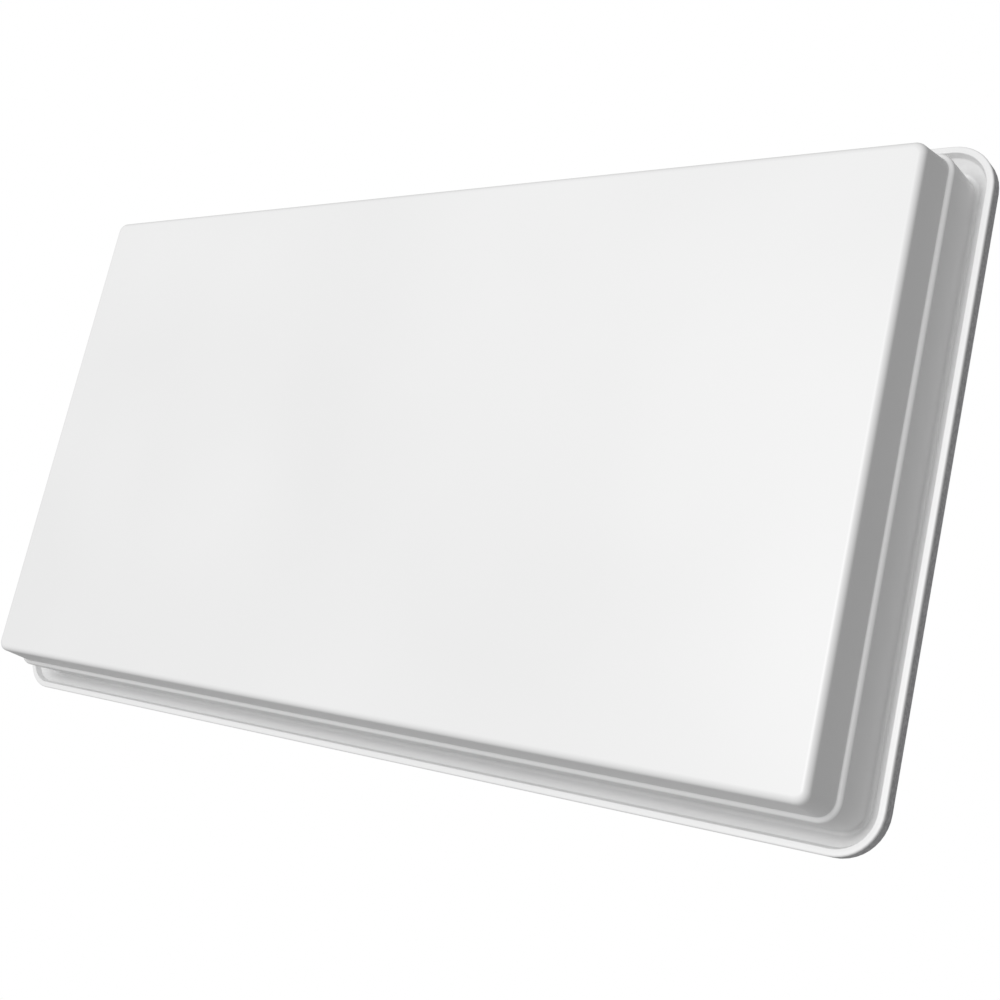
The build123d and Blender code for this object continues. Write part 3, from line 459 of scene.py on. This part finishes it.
def add_thread(bm, radius, pitch, depth, start, end, material):
    """Adds to bm a thread about Z whose crest is at that radius, between two heights."""
    maker = bpy.data.objects.new("thread_maker", bpy.data.meshes.new("thread_maker"))
    bpy.context.scene.collection.objects.link(maker)
    winding = maker.modifiers.new("thread", "NODES")
    winding.node_group = thread_group
    values = {
        "Radius": radius - depth,
        "Pitch": pitch,
        "Length": end - start,
        "Depth": depth,
        "Material": material,
    }
    for item in thread_group.interface.items_tree:
        if item.name in values:
            winding[item.identifier] = values[item.name]
    ready = maker.evaluated_get(bpy.context.evaluated_depsgraph_get())
    mesh = bpy.data.meshes.new_from_object(ready)
    mesh.transform(Matrix.Translation((0, 0, start)))
    bm.from_mesh(mesh)
    bpy.data.objects.remove(maker)
    bpy.data.meshes.remove(mesh)


def add_turned(bm, profile, steps=64):
    """Adds to bm a closed turned shape about Z. Its profile is a list of (radius, height) corners."""
    rings = [
        [
            bm.verts.new((r * math.cos(a), r * math.sin(a), z))
            for a in (2 * math.pi * i / steps for i in range(steps))
        ]
        for r, z in profile
    ]
    for near, far in zip(rings, rings[1:] + rings[:1]):
        for i in range(steps):
            bm.faces.new((near[i], near[(i + 1) % steps], far[(i + 1) % steps], far[i]))


def finish_piece(bm, name, material, placings, body, replaced):
    """Makes one piece from bm, copied to each placing, fixes it to its body and hides the CAD node it
    replaces.
    """
    bmesh.ops.recalc_face_normals(bm, faces=bm.faces)
    single = bpy.data.meshes.new(name)
    bm.to_mesh(single)
    bm.free()
    whole = bmesh.new()
    for placing in placings:
        copy = single.copy()
        copy.transform(placing)
        whole.from_mesh(copy)
        bpy.data.meshes.remove(copy)
    mesh = bpy.data.meshes.new(name)
    whole.to_mesh(mesh)
    whole.free()
    bpy.data.meshes.remove(single)
    mesh.materials.clear()
    mesh.materials.append(material)
    for face in mesh.polygons:
        face.material_index = 0
        face.use_smooth = True
    mesh.set_sharp_from_angle(angle=math.radians(32))
    piece = bpy.data.objects.new(name, mesh)
    bpy.context.scene.collection.objects.link(piece)
    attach(piece, body)
    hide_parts(replaced)


def threaded_shell(number):
    """A connector's shell: a tube with a relieved middle and a 3/8-32 thread below its nut."""
    low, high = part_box(f"connector_shell_{number}")
    insulator_low, insulator_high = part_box(f"connector_insulator_{number}")
    bore = (insulator_high.x - insulator_low.x) / 2
    nut_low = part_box(f"connector_nut_{number}")[0].z
    seal_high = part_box(f"connector_seal_{number}")[1].z
    inside = max(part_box("converter_housing")[0].z + housing_floor, seal_high)
    crest = (high.x - low.x) / 2
    root, relieved, tail = crest - thread_depth, crest - shell_relief, crest - tail_relief
    bm = bmesh.new()
    add_turned(
        bm,
        [
            (bore, low.z),
            (crest - mouth_cut, low.z),
            (root, low.z + mouth_depth),
            (root, nut_low),
            (relieved, nut_low),
            (relieved, inside),
            (tail, inside),
            (tail, high.z),
            (bore, high.z),
        ],
    )
    start, end = low.z + 2 * mouth_depth, nut_low - mouth_depth
    add_thread(bm, crest, thread_pitch, thread_depth, start, end, nickel)
    placing = Matrix.Translation(((low.x + high.x) / 2, (low.y + high.y) / 2, 0))
    name = f"connector_shell_{number}_threaded"
    finish_piece(bm, name, nickel, [placing], "panel", f"connector_shell_{number}")


for number in (1, 2):
    wear(f"connector_shell_{number}", nickel)
    threaded_shell(number)
    wear(f"connector_nut_{number}", nickel)
    wear(f"connector_insulator_{number}", white_polyethylene)
    wear(f"connector_contact_{number}", turned_brass)
    wear(f"connector_seal_{number}", silicone)


# ---------------------------------------------------------------- tilt yoke and mast bracket
# Two channels bent from 3 mm sheet steel and hot-dip galvanised after bending. The yoke is bolted to
# the panel's pillars through four arc slots, and the bracket's ears stand inside the yoke's.
sheet_thickness = 0.003


def galvanised_steel():
    """Hot-dip zinc: crystals 9.09 mm across with ragged edges, each with its own tone and gloss."""
    material, tree, shader = new_material("hot_dip_galvanised_steel", "#B4B7B9", 0.42, 0.6)
    where = add_node(tree, "ShaderNodeTexCoord")
    bend = add_node(
        tree,
        "ShaderNodeTexNoise",
        inputs={"Scale": 1 / 0.0111, "Detail": 2.0},
        links={"Vector": where.outputs["Object"]},
    )
    ragged = add_node(tree, "ShaderNodeMix", settings={"data_type": "VECTOR"}, inputs={"Factor": 0.012})
    ends = {socket.identifier: socket for socket in (*ragged.inputs, *ragged.outputs)}
    tree.links.new(where.outputs["Object"], ends["A_Vector"])
    tree.links.new(bend.outputs["Color"], ends["B_Vector"])
    crystals = add_node(
        tree,
        "ShaderNodeTexVoronoi",
        inputs={"Scale": 1 / 0.00909},
        links={"Vector": ends["Result_Vector"]},
    )
    tone = add_node(tree, "ShaderNodeValToRGB", links={"Fac": crystals.outputs["Color"]})
    first, last = tone.color_ramp.elements
    first.position, first.color = 0.15, linear("#ABAEB0")
    last.position, last.color = 0.85, linear("#C3C6C7")
    tree.links.new(tone.outputs["Color"], shader.inputs["Base Color"])
    gloss = add_node(
        tree,
        "ShaderNodeMapRange",
        inputs={"To Min": 0.34, "To Max": 0.5},
        links={"Value": crystals.outputs["Color"]},
    )
    tree.links.new(gloss.outputs["Result"], shader.inputs["Roughness"])
    return material


galvanised = galvanised_steel()
wear("tilt_yoke", galvanised)
wear("mast_bracket", galvanised)
wear("panel_bolts", stainless)
wear("panel_washers", stainless)


# ---------------------------------------------------------------- pivots and locks
# Electroplated steel: a hexagon bolt, washer and nut at each pivot, and at each lock a bolt with a
# washer and a cast wing nut that is turned by hand.

# Zinc plate: bright, with a blue cast
bright_zinc = mottled("bright_zinc_plate", "#B9BCC2", "#CFD2D7", 0.26, 1.0, 0.00333, 0.00002)
for piece in ("pivot_bolts", "pivot_washers", "pivot_nuts", "lock_bolts", "lock_washers"):
    wear(piece, bright_zinc)
lock_radius, lock_flats, lock_head = 0.003, 0.010, 0.004
lock_pitch, lock_depth, lock_plain = 0.001, 0.00055, 0.008
head_chamfer = 0.0006


def add_hexagon(bm, flats, low, high, chamfer):
    """Adds to bm a hexagonal head about Z between two heights, with its top corners cut back."""
    corner = flats / math.sqrt(3)
    rings = [
        [
            bm.verts.new((r * math.cos(a), r * math.sin(a), z))
            for a in (math.pi * i / 3 + math.pi / 6 for i in range(6))
        ]
        for r, z in ((corner, low), (corner, high - chamfer), (corner - 1.7 * chamfer, high))
    ]
    for near, far in zip(rings, rings[1:]):
        for i in range(6):
            bm.faces.new((near[i], near[(i + 1) % 6], far[(i + 1) % 6], far[i]))
    bm.faces.new(list(reversed(rings[0])))
    bm.faces.new(rings[-1])


def threaded_bolt(node, radius, flats, head, pitch, depth, plain, length, placings):
    """Hexagon bolts, each with its head below 0, plain above it to a height, and threaded to its end."""
    bm = bmesh.new()
    add_hexagon(bm, flats, 0.0, head, head_chamfer)
    bm.transform(Matrix.Scale(-1, 4, (0, 0, 1)))
    axis = 0.00001
    add_turned(
        bm,
        [
            (axis, -head / 2),
            (radius, -head / 2),
            (radius, plain),
            (radius - depth, plain + depth),
            (radius - depth, length - depth),
            (radius - 2 * depth, length),
            (axis, length),
        ],
    )
    add_thread(bm, radius, pitch, depth, plain + 0.5 * pitch, length - 1.2 * depth, bright_zinc)
    finish_piece(bm, f"{node}_threaded", bright_zinc, placings, "mast_bracket", node)


lock_low, lock_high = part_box("lock_bolts")
lock_middle = (lock_low + lock_high) / 2
lock_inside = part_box("mast_bracket")[1].x - sheet_thickness
lock_placings = [
    Matrix.Translation((side * lock_inside, lock_middle.y, lock_middle.z))
    @ Matrix.Rotation(side * math.pi / 2, 4, "Y")
    for side in (-1, 1)
]
threaded_bolt(
    "lock_bolts",
    lock_radius,
    lock_flats,
    lock_head,
    lock_pitch,
    lock_depth,
    lock_plain,
    lock_high.x - lock_inside,
    lock_placings,
)

# Plated zinc casting: softer than the bolts' shine, with the skin of the mould
cast_zinc = mottled("plated_zinc_casting", "#B0B3B8", "#C8CBCF", 0.36, 0.95, 0.00143, 0.00008)
wing_rounding = 0.0006


def rounded_casting(node, width, material, body):
    """A CAD node's shape with its sharp edges eased, by up to a width, as a casting's are."""
    bm = bmesh.new()
    bm.from_mesh(nodes[node].data)
    bmesh.ops.remove_doubles(bm, verts=bm.verts, dist=0.000002)
    bmesh.ops.dissolve_limit(bm, angle_limit=math.radians(1.0), verts=bm.verts, edges=bm.edges)
    maker = bpy.data.objects.new("casting_maker", bpy.data.meshes.new("casting_maker"))
    bm.to_mesh(maker.data)
    bm.free()
    bpy.context.scene.collection.objects.link(maker)
    rounding = maker.modifiers.new("rounding", "BEVEL")
    rounding.width = width
    rounding.segments = 3
    rounding.limit_method = "ANGLE"
    rounding.angle_limit = math.radians(35)
    ready = maker.evaluated_get(bpy.context.evaluated_depsgraph_get())
    rounded = bpy.data.meshes.new_from_object(ready)
    bm = bmesh.new()
    bm.from_mesh(rounded)
    bpy.data.objects.remove(maker)
    bpy.data.meshes.remove(rounded)
    finish_piece(bm, f"{node}_rounded", material, [Matrix.Identity(4)], body, node)


for node in ("wing_nut_left", "wing_nut_right"):
    wear(node, cast_zinc)
    rounded_casting(node, wing_rounding, cast_zinc, node)


# ---------------------------------------------------------------- mast clamp
# Two cast aluminium jaws round the mast, drawn together by two long plated bolts whose heads stand in
# front of the bracket's plate, with washers and nuts behind the loose jaw.
jaw_rounding = 0.0012
for piece, body in (("fixed_jaw", "mast_bracket"), ("loose_jaw", "loose_jaw")):
    wear(piece, diecast)
    rounded_casting(piece, jaw_rounding, diecast, body)
for piece in ("clamp_bolts", "clamp_washers", "clamp_nuts"):
    wear(piece, bright_zinc)
clamp_radius, clamp_flats, clamp_head = 0.004, 0.013, 0.0053
clamp_pitch, clamp_depth, clamp_plain = 0.00125, 0.00068, 0.045
clamp_low, clamp_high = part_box("clamp_bolts")
clamp_x = (clamp_high.x - clamp_low.x) / 2 - clamp_flats / math.sqrt(3)
clamp_placings = [
    Matrix.Translation((side * clamp_x, clamp_low.y + clamp_head, 0)) @ Matrix.Rotation(-math.pi / 2, 4, "X")
    for side in (-1, 1)
]
clamp_end = clamp_high.y - clamp_low.y - clamp_head
threaded_bolt(
    "clamp_bolts",
    clamp_radius,
    clamp_flats,
    clamp_head,
    clamp_pitch,
    clamp_depth,
    clamp_plain,
    clamp_end,
    clamp_placings,
)
